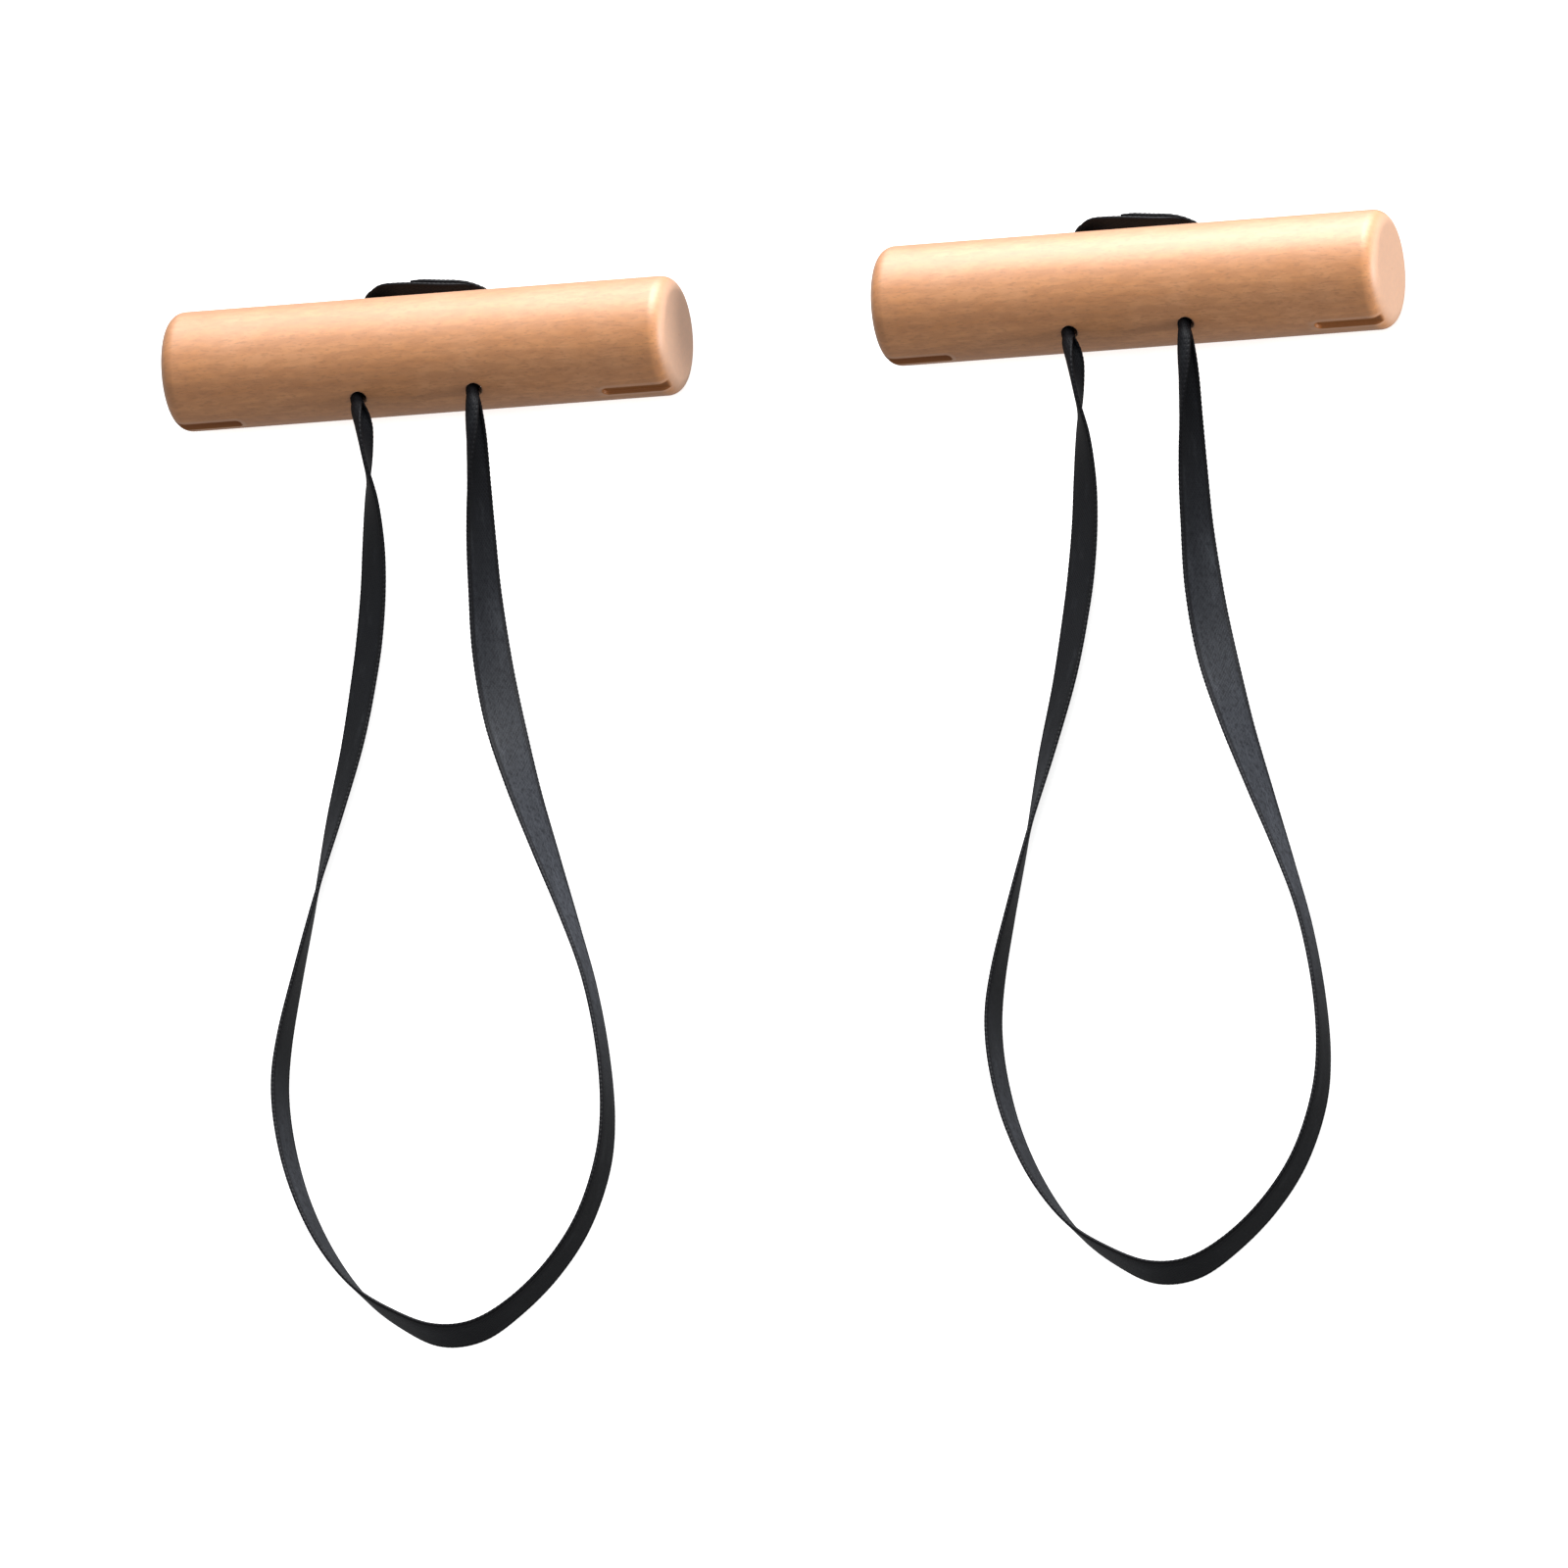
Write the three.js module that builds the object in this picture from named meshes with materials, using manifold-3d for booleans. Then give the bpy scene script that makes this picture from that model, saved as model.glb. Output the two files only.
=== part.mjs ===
// A pair of turned wooden grip handles. Each is a round beech dowel with two cross holes, and one
// length of flat webbing runs through both holes, is lapped and sewn behind the dowel, and lies
// in front of it as a long open loop. Millimetres, +Z up. The dowels lie along X on the surface
// Z = 0, and their loops lie towards -Y.

import * as THREE from 'three';
import { mergeVertices } from 'three/addons/utils/BufferGeometryUtils.js';
import Module from 'manifold-3d';

// The dowel
const GRIP_R = 21; // across the flats of its facets
const GRIP_LENGTH = 185;
const EDGE_R = 5.5; // rounding of each end
const EDGE_STEPS = 5;
const FACETS = 48;

// The two cross holes, whose front mouths point up by HOLE_TILT
const HOLE_R = 2.65;
const HOLE_X = 21.2; // from the middle of the dowel to each hole
const HOLE_TILT = THREE.MathUtils.degToRad(24);
const HOLE_FACETS = 20;
const RIM = 0.3; // how deep each mouth is eased

// The routed slots at the two ends of the dowel, low on its front
const LEFT_SLOT = { length: 25, halfWidth: 2.4, depth: 2.0, corner: 1.6, lift: -3.6 };
const RIGHT_SLOT = { length: 26, halfWidth: 1.9, depth: 1.3, corner: 1.9, lift: 5.5 };

// The webbing
const WEB_W = 15;
const WEB_T = 1.4;
const GAP = 0.3; // between pieces that touch
const MOUTH_HALF_W = 1.8; // half width and half thickness where it is gathered into a hole
const MOUTH_HALF_T = 1.25;
const OPENING_LENGTH = 22; // distance in which the gathered webbing mostly opens out
const REAR_OPENING_LENGTH = 5;
const LOOP_STEPS = 78;
const LAP_STEPS = 30;

// The sewn lap behind the dowel: the inner and outer layers end here, measured along X
const LAP_INNER_END = 11;
const LAP_OUTER_END = -8.5;
const LAP_LEVEL = 13; // the two layers lie on each other up to here, measured along X
const LAP_PARTED = 19; // and past here there is only one
const TACK = { width: 11, length: 2.2, thickness: 0.7, clearance: 0.8, places: [-5, 7.5] };

// Where the two handles lie: side by side, the right one a little further back, and the box
// round both dowels and the webbing behind them centred on the origin
const HALF_SPACING = 130;
const STAGGER = 4.6;
const REAR_REACH = 30.5; // from the dowel's middle to the back of the webbing behind it
const MIDDLE_Y = (GRIP_R - REAR_REACH) / 2;
const HANDLES = [
  { side: 'left', x: -HALF_SPACING, y: MIDDLE_Y - STAGGER / 2 },
  { side: 'right', x: HALF_SPACING, y: MIDDLE_Y + STAGGER / 2 },
];

const BEECH = new THREE.MeshStandardMaterial({ color: 0xd9a679, roughness: 0.5, metalness: 0 });
const BLACK_WEBBING = new THREE.MeshStandardMaterial({ color: 0x23262a, roughness: 0.85, metalness: 0 });
const BLACK_THREAD = new THREE.MeshStandardMaterial({ color: 0x151618, roughness: 0.7, metalness: 0 });

// The loop's route from the left hole round to the right one: x, y and z from the foot of the
// dowel's middle, and the webbing's lean in degrees (0 stands on edge, 90 lies flat on its back).
// It starts 3 mm outside the hole, on the line that the loop swings about.
const LOOP_ROUTE = [
  [-20.3, -21.9, 30.8, -10], [-19.2, -26.0, 31.4, -8], [-18.3, -32.0, 30.6, -5],
  [-17.4, -43.0, 27.2, 8], [-16.6, -56.0, 22.2, 32], [-16.6, -70.0, 17.0, 46],
  [-17.0, -84.0, 13.1, 52], [-18.0, -99.0, 10.2, 55], [-19.6, -115.0, 8.2, 55],
  [-22.8, -141.0, 6.9, 50], [-27.6, -169.0, 7.0, 40], [-32.6, -200.0, 7.6, 21],
  [-37.2, -229.0, 7.8, 10], [-40.6, -254.0, 7.8, 1], [-41.0, -273.0, 7.8, -5],
  [-37.6, -293.0, 7.8, -8], [-30.8, -314.0, 7.8, -9], [-20.4, -334.5, 7.8, -9],
  [-7.0, -352.0, 7.8, -5], [8.0, -363.5, 7.8, 3], [22.5, -370.4, 7.8, 8],
  [37.0, -369.8, 7.8, 4], [50.5, -361.5, 7.8, -2], [63.4, -348.0, 7.8, -3],
  [73.3, -331.0, 7.8, -2], [79.0, -310.0, 7.8, 0], [79.7, -290.0, 7.8, 0],
  [76.4, -266.0, 7.8, 0], [70.0, -240.0, 7.8, 3], [61.4, -216.0, 7.8, 11],
  [50.8, -189.0, 7.5, 25], [40.4, -162.0, 6.6, 40], [31.8, -136.0, 5.4, 56],
  [26.2, -112.0, 6.3, 50], [22.9, -88.0, 9.2, 34], [21.8, -68.0, 15.0, 26],
  [22.0, -50.0, 22.6, 16], [22.8, -36.0, 28.6, 6], [22.8, -27.0, 31.3, 0],
  [22.0, -21.9, 30.8, 0],
];

// The route of the webbing through the holes and round the back, from the right hole's front
// mouth to the left one's: x, distance along the hole's axis to the rear, and height across it.
const REAR_ROUTE = [
  [21.2, -20.9, 0], [21.2, -10, 0], [21.2, 0, 0], [21.2, 10, 0], [21.2, 20, 0], [20.6, 22.6, -0.2],
  [17.6, 24.4, -1.0], [13.8, 25.1, 0.6], [9.0, 25.4, 2.6], [2.0, 25.4, 3.6], [-8.0, 25.8, 4.7],
  [-16.0, 26.5, 4.6], [-22.2, 26.5, 3.0], [-24.5, 24.9, 1.5], [-22.3, 22.7, 0.4], [-21.2, 20, 0],
  [-21.2, 10, 0], [-21.2, 0, 0], [-21.2, -10, 0], [-21.2, -20.9, 0],
];

const REARWARD = new THREE.Vector3(0, Math.cos(HOLE_TILT), -Math.sin(HOLE_TILT));
const ACROSS = new THREE.Vector3(0, Math.sin(HOLE_TILT), Math.cos(HOLE_TILT));

const MERGE_TOLERANCE = 1e-4;
const CUTTER_REACH = GRIP_R + 9; // the hole's cutter ends this far from the dowel's axis

// The loop ends in a round nose about its hinge line: how far back each step is, and its width's
// share of the first station's.
const NOSE = [[2.15, 0.3], [1.6, 0.7], [0.8, 0.93]];

const wasm = await Module();
wasm.setup();

function toSolid(geometry) {
  const bare = geometry.clone();
  bare.deleteAttribute('normal');
  bare.deleteAttribute('uv');
  const merged = mergeVertices(bare, MERGE_TOLERANCE);
  return new wasm.Manifold(new wasm.Mesh({
    numProp: 3,
    vertProperties: new Float32Array(merged.attributes.position.array),
    triVerts: new Uint32Array(merged.index.array),
  }));
}

function toGeometry(solid) {
  const mesh = solid.getMesh();
  const geometry = new THREE.BufferGeometry();
  geometry.setAttribute('position', new THREE.BufferAttribute(mesh.vertProperties, 3));
  geometry.setIndex(new THREE.BufferAttribute(mesh.triVerts, 1));
  geometry.computeVertexNormals();
  return geometry;
}

// A round bar along X with rounded ends. Its facets are turned so that one is flat underneath.
function dowelGeometry() {
  const cornerR = GRIP_R / Math.cos(Math.PI / FACETS);
  const profile = [new THREE.Vector2(0, -GRIP_LENGTH / 2)];
  for (let i = 0; i <= EDGE_STEPS; i++) {
    const turn = (i / EDGE_STEPS) * (Math.PI / 2);
    profile.push(new THREE.Vector2(
      cornerR - EDGE_R + EDGE_R * Math.sin(turn),
      -GRIP_LENGTH / 2 + EDGE_R - EDGE_R * Math.cos(turn),
    ));
  }
  const rightHalf = profile.map((p) => new THREE.Vector2(p.x, -p.y)).reverse();
  const dowel = new THREE.LatheGeometry([...profile, ...rightHalf], FACETS, Math.PI / FACETS);
  return dowel.rotateZ(-Math.PI / 2);
}

// A round cutter along the hole's axis that flares out where it passes the dowel's surface.
function holeCutter(x) {
  const flareStart = GRIP_R - RIM;
  const flareR = HOLE_R + CUTTER_REACH - flareStart;
  const profile = [
    new THREE.Vector2(0, -CUTTER_REACH),
    new THREE.Vector2(flareR, -CUTTER_REACH),
    new THREE.Vector2(HOLE_R, -flareStart),
    new THREE.Vector2(HOLE_R, flareStart),
    new THREE.Vector2(flareR, CUTTER_REACH),
    new THREE.Vector2(0, CUTTER_REACH),
  ];
  return new THREE.LatheGeometry(profile, HOLE_FACETS).rotateX(-HOLE_TILT).translate(x, 0, 0);
}

// A flat-bottomed slot that runs in from one end of the dowel and stops in rounded corners.
// Its lift is the height of its middle on the dowel's front, as an angle in degrees.
function slotCutter(slot, direction) {
  const end = GRIP_LENGTH / 2 + EDGE_R;
  const inner = GRIP_LENGTH / 2 - slot.length;
  const outline = new THREE.Shape();
  outline.moveTo(end, -slot.halfWidth);
  outline.lineTo(end, slot.halfWidth);
  outline.lineTo(inner + slot.corner, slot.halfWidth);
  const cornerX = inner + slot.corner;
  const cornerY = slot.halfWidth - slot.corner;
  outline.absarc(cornerX, cornerY, slot.corner, Math.PI / 2, Math.PI, false);
  outline.absarc(cornerX, -cornerY, slot.corner, Math.PI, 1.5 * Math.PI, false);
  const cutter = new THREE.ExtrudeGeometry(outline, {
    depth: slot.depth + EDGE_R,
    bevelEnabled: false,
    curveSegments: EDGE_STEPS,
  });
  cutter.translate(0, 0, GRIP_R - slot.depth);
  if (direction < 0) cutter.rotateZ(Math.PI);
  return cutter.rotateX(Math.PI / 2 - THREE.MathUtils.degToRad(slot.lift));
}

function gripGeometry() {
  let solid = toSolid(dowelGeometry());
  const cutters = [
    holeCutter(-HOLE_X),
    holeCutter(HOLE_X),
    slotCutter(LEFT_SLOT, -1),
    slotCutter(RIGHT_SLOT, 1),
  ];
  for (const cutter of cutters) solid = solid.subtract(toSolid(cutter));
  return toGeometry(solid).translate(0, 0, GRIP_R);
}

// A solid band through a list of stations. Each has a centre, the direction of the band's width,
// the direction of its thickness, and half of each size.
function bandGeometry(stations) {
  const last = stations.length - 1;
  const geometry = new THREE.BoxGeometry(2, 2, last, 1, 1, last);
  const position = geometry.attributes.position;
  const corner = new THREE.Vector3();
  for (let i = 0; i < position.count; i++) {
    const station = stations[Math.round(position.getZ(i) + last / 2)];
    corner.copy(station.centre);
    corner.addScaledVector(station.wide, position.getX(i) * station.halfWidth);
    corner.addScaledVector(station.thick, position.getY(i) * station.halfThickness);
    position.setXYZ(i, corner.x, corner.y, corner.z);
  }
  geometry.computeVertexNormals();
  return geometry;
}

// The smooth curve through a list of points.
const smoothLine = (points) => new THREE.CatmullRomCurve3(points, false, 'catmullrom', 0.5);

// How far the gathered webbing still is from open, 1 at a hole and near 0 far from it.
const gathered = (distance, length) => Math.exp(-distance / length);

function noseStations(end, outward) {
  return NOSE.map(([back, share]) => ({
    ...end,
    centre: end.centre.clone().addScaledVector(outward, -back),
    halfWidth: end.halfWidth * share,
  }));
}

// The open loop in front of the dowel, on the route above.
function loopGeometry() {
  const route = smoothLine(LOOP_ROUTE.map(([x, y, z]) => new THREE.Vector3(x, y, z)));
  const leans = smoothLine(LOOP_ROUTE.map((row) => new THREE.Vector3(row[3], 0, 0)));
  const length = route.getLength();
  const stations = [];
  for (let i = 0; i <= LOOP_STEPS; i++) {
    const share = route.getUtoTmapping(i / LOOP_STEPS);
    const along = route.getTangent(share);
    const inward = new THREE.Vector3(-along.y, along.x, 0).normalize();
    const upright = new THREE.Vector3().crossVectors(along, inward);
    const lean = THREE.MathUtils.degToRad(leans.getPoint(share).x);
    const wide = upright.multiplyScalar(Math.cos(lean)).addScaledVector(inward, Math.sin(lean));
    const fromHole = (Math.min(i, LOOP_STEPS - i) / LOOP_STEPS) * length;
    const fold = gathered(fromHole, OPENING_LENGTH);
    stations.push({
      centre: route.getPoint(share),
      wide,
      thick: new THREE.Vector3().crossVectors(along, wide),
      halfWidth: THREE.MathUtils.lerp(WEB_W / 2, MOUTH_HALF_W, fold),
      halfThickness: THREE.MathUtils.lerp(WEB_T / 2, MOUTH_HALF_T, fold),
    });
  }
  const leftNose = noseStations(stations[0], route.getTangent(0));
  const rightNose = noseStations(stations[LOOP_STEPS], route.getTangent(1).negate()).reverse();
  return bandGeometry([...leftNose, ...stations, ...rightNose]);
}

// A point given by its x, its distance along the holes to the rear, and its height across them.
function holePoint(x, back, up) {
  return new THREE.Vector3(x, 0, GRIP_R).addScaledVector(REARWARD, back).addScaledVector(ACROSS, up);
}

// One layer of the webbing behind the dowel, between two shares of the rear route. The layer
// steps sideways by half the lap's thickness where the other layer lies against it.
function lapGeometry(fromShare, toShare, layer) {
  const route = smoothLine(REAR_ROUTE.map((row) => holePoint(...row)));
  const stations = [];
  for (let i = 0; i <= LAP_STEPS; i++) {
    const share = THREE.MathUtils.lerp(fromShare, toShare, i / LAP_STEPS);
    const along = route.getTangent(share);
    const centre = route.getPoint(share);
    const wide = ACROSS.clone().addScaledVector(along, -along.dot(ACROSS)).normalize();
    const thick = new THREE.Vector3().crossVectors(along, wide);
    const back = centre.dot(REARWARD) - GRIP_R * REARWARD.z;
    const inward = HOLE_X - Math.min(HOLE_X, Math.abs(centre.x));
    const outOfHole = Math.max(0, back - GRIP_R - RIM) + inward;
    const fold = gathered(outOfHole, REAR_OPENING_LENGTH);
    const lapped = 1 - THREE.MathUtils.smoothstep(Math.abs(centre.x), LAP_LEVEL, LAP_PARTED);
    centre.addScaledVector(thick, (layer * lapped * (WEB_T + GAP)) / 2);
    stations.push({
      centre,
      wide,
      thick,
      halfWidth: THREE.MathUtils.lerp(WEB_W / 2, MOUTH_HALF_W, fold),
      halfThickness: THREE.MathUtils.lerp(WEB_T / 2, MOUTH_HALF_T, fold),
    });
  }
  return bandGeometry(stations);
}

// The share of the rear route at which it passes a given x.
function rearShareAt(x) {
  const last = REAR_ROUTE.length - 1;
  const i = REAR_ROUTE.findIndex((row) => row[0] <= x) - 1;
  return (i + (REAR_ROUTE[i][0] - x) / (REAR_ROUTE[i][0] - REAR_ROUTE[i + 1][0])) / last;
}

// A raised bar of thread across the lap's outer face.
function tackGeometry(x) {
  const share = rearShareAt(x) * (REAR_ROUTE.length - 1);
  const i = Math.floor(share);
  const back = THREE.MathUtils.lerp(REAR_ROUTE[i][1], REAR_ROUTE[i + 1][1], share - i);
  const up = THREE.MathUtils.lerp(REAR_ROUTE[i][2], REAR_ROUTE[i + 1][2], share - i);
  const lift = WEB_T + TACK.clearance + TACK.thickness / 2;
  const bar = new THREE.BoxGeometry(TACK.length, TACK.thickness, TACK.width).rotateX(-HOLE_TILT);
  const place = holePoint(x, back + lift, up);
  return bar.translate(place.x, place.y, place.z);
}

function addPiece(handle, name, geometry, material) {
  const piece = new THREE.Mesh(geometry, material);
  piece.name = name;
  handle.add(piece);
}

function buildHandle({ side, x, y }) {
  const handle = new THREE.Group();
  addPiece(handle, `${side}_grip`, gripGeometry(), BEECH);
  addPiece(handle, `${side}_webbing_loop`, loopGeometry(), BLACK_WEBBING);
  const outer = lapGeometry(0, rearShareAt(LAP_OUTER_END), 1);
  const inner = lapGeometry(rearShareAt(LAP_INNER_END), 1, -1);
  addPiece(handle, `${side}_lap_outer`, outer, BLACK_WEBBING);
  addPiece(handle, `${side}_lap_inner`, inner, BLACK_WEBBING);
  TACK.places.forEach((place, i) => {
    addPiece(handle, `${side}_bar_tack_${i + 1}`, tackGeometry(place), BLACK_THREAD);
  });
  handle.position.set(x, y, 0);
  return handle;
}

const pair = new THREE.Group();
for (const handle of HANDLES) pair.add(buildHandle(handle));

export default pair;
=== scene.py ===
"""A pair of turned beech grip handles, each with a long loop of flat black webbing.

The webbing of a handle runs through two cross holes in the dowel. Behind the dowel its two ends are
lapped and held by bar tacks, and in front of it it lies as an open loop. Metres, +Z up.
"""

import math
from typing import NamedTuple

import bpy
import numpy as np
from mathutils import Matrix, Vector


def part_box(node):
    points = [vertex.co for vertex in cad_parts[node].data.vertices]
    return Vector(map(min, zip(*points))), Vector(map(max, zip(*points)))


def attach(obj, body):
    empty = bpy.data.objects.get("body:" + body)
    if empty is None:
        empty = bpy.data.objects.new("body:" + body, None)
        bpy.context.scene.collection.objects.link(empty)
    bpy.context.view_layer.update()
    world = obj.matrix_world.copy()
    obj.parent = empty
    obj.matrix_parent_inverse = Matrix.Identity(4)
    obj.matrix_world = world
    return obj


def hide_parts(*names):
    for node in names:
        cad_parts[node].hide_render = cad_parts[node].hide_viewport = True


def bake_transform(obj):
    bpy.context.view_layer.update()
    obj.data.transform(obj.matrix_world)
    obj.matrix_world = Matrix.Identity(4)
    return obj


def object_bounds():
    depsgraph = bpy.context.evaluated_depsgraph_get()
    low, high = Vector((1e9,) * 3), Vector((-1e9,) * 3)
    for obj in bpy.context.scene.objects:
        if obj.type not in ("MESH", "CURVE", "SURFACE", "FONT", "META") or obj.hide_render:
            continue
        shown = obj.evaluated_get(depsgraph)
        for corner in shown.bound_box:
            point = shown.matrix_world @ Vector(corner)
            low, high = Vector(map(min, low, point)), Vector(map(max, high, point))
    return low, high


MM = 0.001
SIDES = ("left", "right")

# The dowel
EDGE_R = 5.5 * MM  # rounding of each end
HOLE_R = 2.65 * MM
HOLE_X = 21.2 * MM  # from the middle of the dowel to each hole
HOLE_TILT = math.radians(24)  # the front mouths point up by this much
RIM = 0.3 * MM  # how far each mouth is rounded off
HOLE_DEPTH = 8 * MM  # how far in a mouth is modelled, past which the webbing fills it
SLOT_EDGE = 0.14 * MM  # half the width of the worn edge round a slot
SCORCH_FADE = 0.5 * MM  # the scorching of a slot ends over this distance
SCORCH_CLIMB = 0.6 * MM
END_HIGHLIGHT = 0.9  # how far the cut ends are painted paler, as a highlight
LIP_HIGHLIGHT = 0.4  # how far the lip round a slot is painted paler, as a highlight
LIP_WIDTH = 1.3 * MM
LIP_FADE = 0.8 * MM


class Slot(NamedTuple):
    end: int  # the direction of its open end along X
    length: float
    half_width: float
    depth: float
    corner: float  # radius of its inner corners
    lift: float  # where it is on the dowel, as an angle up from straight ahead


SLOTS = (
    Slot(-1, 25 * MM, 2.4 * MM, 2.0 * MM, 1.6 * MM, math.radians(-3.6)),
    Slot(1, 26 * MM, 1.9 * MM, 1.3 * MM, 1.9 * MM, math.radians(5.5)),
)

# The webbing
WIDTH = 15 * MM
THICKNESS = 1.4 * MM
FACE_POINTS, TURN_POINTS = 15, 7  # of its section, on each face and round each selvedge
GROOVE_IN = 1.5 * MM  # from each selvedge to the groove beside it
GROOVE_WIDTH = 0.45 * MM
GROOVE_DEPTH = 0.2  # as a share of the thickness
SWELL = 0.012  # how far the selvedges swell at a turn of the weft
SELVEDGE_POWER = 8  # the higher, the nearer to the selvedge the swelling stays
SQUEEZED = 1.0 * MM  # its thickness where it is curled up in a hole
GATHERED = 0.74  # the share of its width left there, as the rest is taken up in small folds
GATHER_LENGTH = 6 * MM  # in this distance from a hole that effect, and the shade painted there, fall to 37 %
CURL = math.radians(352)  # how far its two edges turn towards each other there
LEFT_OPENING = 9 * MM  # in this distance from the left hole the curl falls to 37 %
RIGHT_OPENING = 26 * MM
REAR_OPENING = 5 * MM
PICK = 1.7 * MM  # spacing of the weft's turns along the selvedges
SWING_PIVOT = 3 * MM  # the loop swings about a line this far outside the holes
IN_HOLE = (16 * MM, 18.5 * MM, 21 * MM)  # rows of its route in a hole, from the dowel's middle line
GAP = 0.3 * MM  # between the lap's layers
LAP_OUTER_END = -8.5 * MM
LAP_INNER_END = 11 * MM
LAP_LEVEL = 13 * MM  # up to here from the middle, the layers lie one on the other
LAP_PARTED = 19 * MM  # from here on, each is on the route itself
TACK_PLACES = (-5 * MM, 7.5 * MM)
TACK_WIDTH = 11 * MM
TACK_LENGTH = 2.2 * MM
TACK_STITCHES = 34
STITCH_STEPS = 8
STITCH_SHARPNESS = 0.995  # 1 would turn the thread in a point
STITCH_RISE, STITCH_DIVE = 1.2, 0.6  # in thread radii
THREAD_R = 0.24 * MM
THREAD_SIDES = 8
STEP = 0.42 * MM  # between the sections of a band
LAP_END_TAPER = 5 * MM  # each end of the webbing is pressed thin over this length
LAP_END_THINNED = 0.3  # the share of its thickness left at the very end
SPAN_CUTS = 24  # the points worked out in each span of a curve

# The loop's route from the left hole round to the right one, from the foot of the dowel's middle:
# x, y and z in millimetres, and the webbing's lean in degrees (0 stands on edge, 90 lies flat).
LOOP_ROUTE = (
    (-20.3, -21.9, 30.8, -10), (-19.2, -26.0, 31.4, -8), (-18.3, -32.0, 30.6, -5),
    (-17.4, -43.0, 27.2, 8), (-16.6, -56.0, 22.2, 32), (-16.6, -70.0, 17.0, 46),
    (-17.0, -84.0, 13.1, 52), (-18.0, -99.0, 10.2, 55), (-19.6, -115.0, 8.2, 55),
    (-22.8, -141.0, 6.9, 50), (-27.6, -169.0, 7.0, 40), (-32.6, -200.0, 7.6, 21),
    (-37.2, -229.0, 7.8, 10), (-40.6, -254.0, 7.8, 1), (-41.0, -273.0, 7.8, -5),
    (-37.6, -293.0, 7.8, -8), (-30.8, -314.0, 7.8, -9), (-20.4, -334.5, 7.8, -9),
    (-7.0, -352.0, 7.8, -5), (8.0, -363.5, 7.8, 3), (22.5, -370.4, 7.8, 8),
    (37.0, -369.8, 7.8, 4), (50.5, -361.5, 7.8, -2), (63.4, -348.0, 7.8, -3),
    (73.3, -331.0, 7.8, -2), (79.0, -310.0, 7.8, 0), (79.7, -290.0, 7.8, 0),
    (76.4, -266.0, 7.8, 0), (70.0, -240.0, 7.8, 3), (61.4, -216.0, 7.8, 11),
    (50.8, -189.0, 7.5, 25), (40.4, -162.0, 6.6, 40), (31.8, -136.0, 5.4, 56),
    (26.2, -112.0, 6.3, 50), (22.9, -88.0, 9.2, 34), (21.8, -68.0, 15.0, 26),
    (22.0, -50.0, 22.6, 16), (22.8, -36.0, 28.6, 6), (22.8, -27.0, 31.3, 0),
    (22.0, -21.9, 30.8, 0),
)

# Painted sheen: how much greyer the loop's webbing is painted, from 0 to 1, at distances in metres from
# its left end.
PAINTED_SHEEN_AT = (
    (0.15, 0), (0.18, 0.3), (0.22, 0), (0.25, 0), (0.30, 0.4), (0.40, 0), (0.50, 0), (0.57, 0.8),
    (0.65, 0.3), (0.75, 0),
)

# The webbing's route through the holes and round the back, in millimetres from the dowel's middle:
# x, distance along the holes to the rear, and height across them.
REAR_ROUTE = (
    (21.2, -16, 0), (21.2, -10, 0), (21.2, 0, 0), (21.2, 10, 0), (21.2, 20, 0), (20.6, 22.6, -0.2),
    (17.6, 24.4, -1.0), (13.8, 25.1, 0.6), (9.0, 25.4, 2.6), (2.0, 25.4, 3.6), (-8.0, 25.8, 4.7),
    (-16.0, 26.5, 4.6), (-22.2, 26.5, 3.0), (-24.5, 24.9, 1.5), (-22.3, 22.7, 0.4), (-21.2, 20, 0),
    (-21.2, 10, 0), (-21.2, 0, 0), (-21.2, -10, 0), (-21.2, -16, 0),
)

REARWARD = np.array([0, math.cos(HOLE_TILT), -math.sin(HOLE_TILT)])
ACROSS = np.array([0, math.sin(HOLE_TILT), math.cos(HOLE_TILT)])
ALONG_DOWEL = np.array([1.0, 0, 0])

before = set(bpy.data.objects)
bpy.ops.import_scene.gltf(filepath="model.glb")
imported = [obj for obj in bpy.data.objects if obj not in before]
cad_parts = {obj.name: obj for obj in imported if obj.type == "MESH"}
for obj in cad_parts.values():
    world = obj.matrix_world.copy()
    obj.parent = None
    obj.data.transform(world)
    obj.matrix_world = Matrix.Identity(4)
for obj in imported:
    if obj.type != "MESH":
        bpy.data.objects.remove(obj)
cad_box = [list(corner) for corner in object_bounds()]


# ---------------------------------------------------------------- camera

# The camera looks down at the pair from the front, swung to their right and slightly rolled. It
# stands far off with a long lens, so that both handles are seen alike.
LOOK_DOWN = math.radians(65)
SWING = math.radians(17)
ROLL = math.radians(4.22)
VIEW_WIDTH = 0.5456  # what the view takes in, at the middle of the pair
LENS_MM = 1400
AIM_FROM_MIDDLE = Vector((0.0107, -0.0058, -0.0020))


def make_camera():
    """The camera's axes are the world's, tilted down, then swung about its own up, then rolled."""
    right, up = Vector((1, 0, 0)), Vector((0, math.sin(LOOK_DOWN), math.cos(LOOK_DOWN)))
    back = right.cross(up)
    right, back = (
        right * math.cos(SWING) - back * math.sin(SWING),
        back * math.cos(SWING) + right * math.sin(SWING),
    )
    right, up = (
        right * math.cos(ROLL) - up * math.sin(ROLL),
        up * math.cos(ROLL) + right * math.sin(ROLL),
    )
    data = bpy.data.cameras.new("camera")
    data.lens = LENS_MM
    distance = VIEW_WIDTH * LENS_MM / data.sensor_width
    data.clip_start, data.clip_end = distance / 10, distance * 2
    low, high = map(Vector, cad_box)
    place = (low + high) / 2 + AIM_FROM_MIDDLE + back * distance
    camera = bpy.data.objects.new("camera", data)
    turned = Matrix((right, up, back)).transposed().to_4x4()
    camera.matrix_world = Matrix.Translation(place) @ turned
    bpy.context.scene.collection.objects.link(camera)
    bpy.context.scene.camera = camera


# ---------------------------------------------------------------- lines and surfaces


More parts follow.
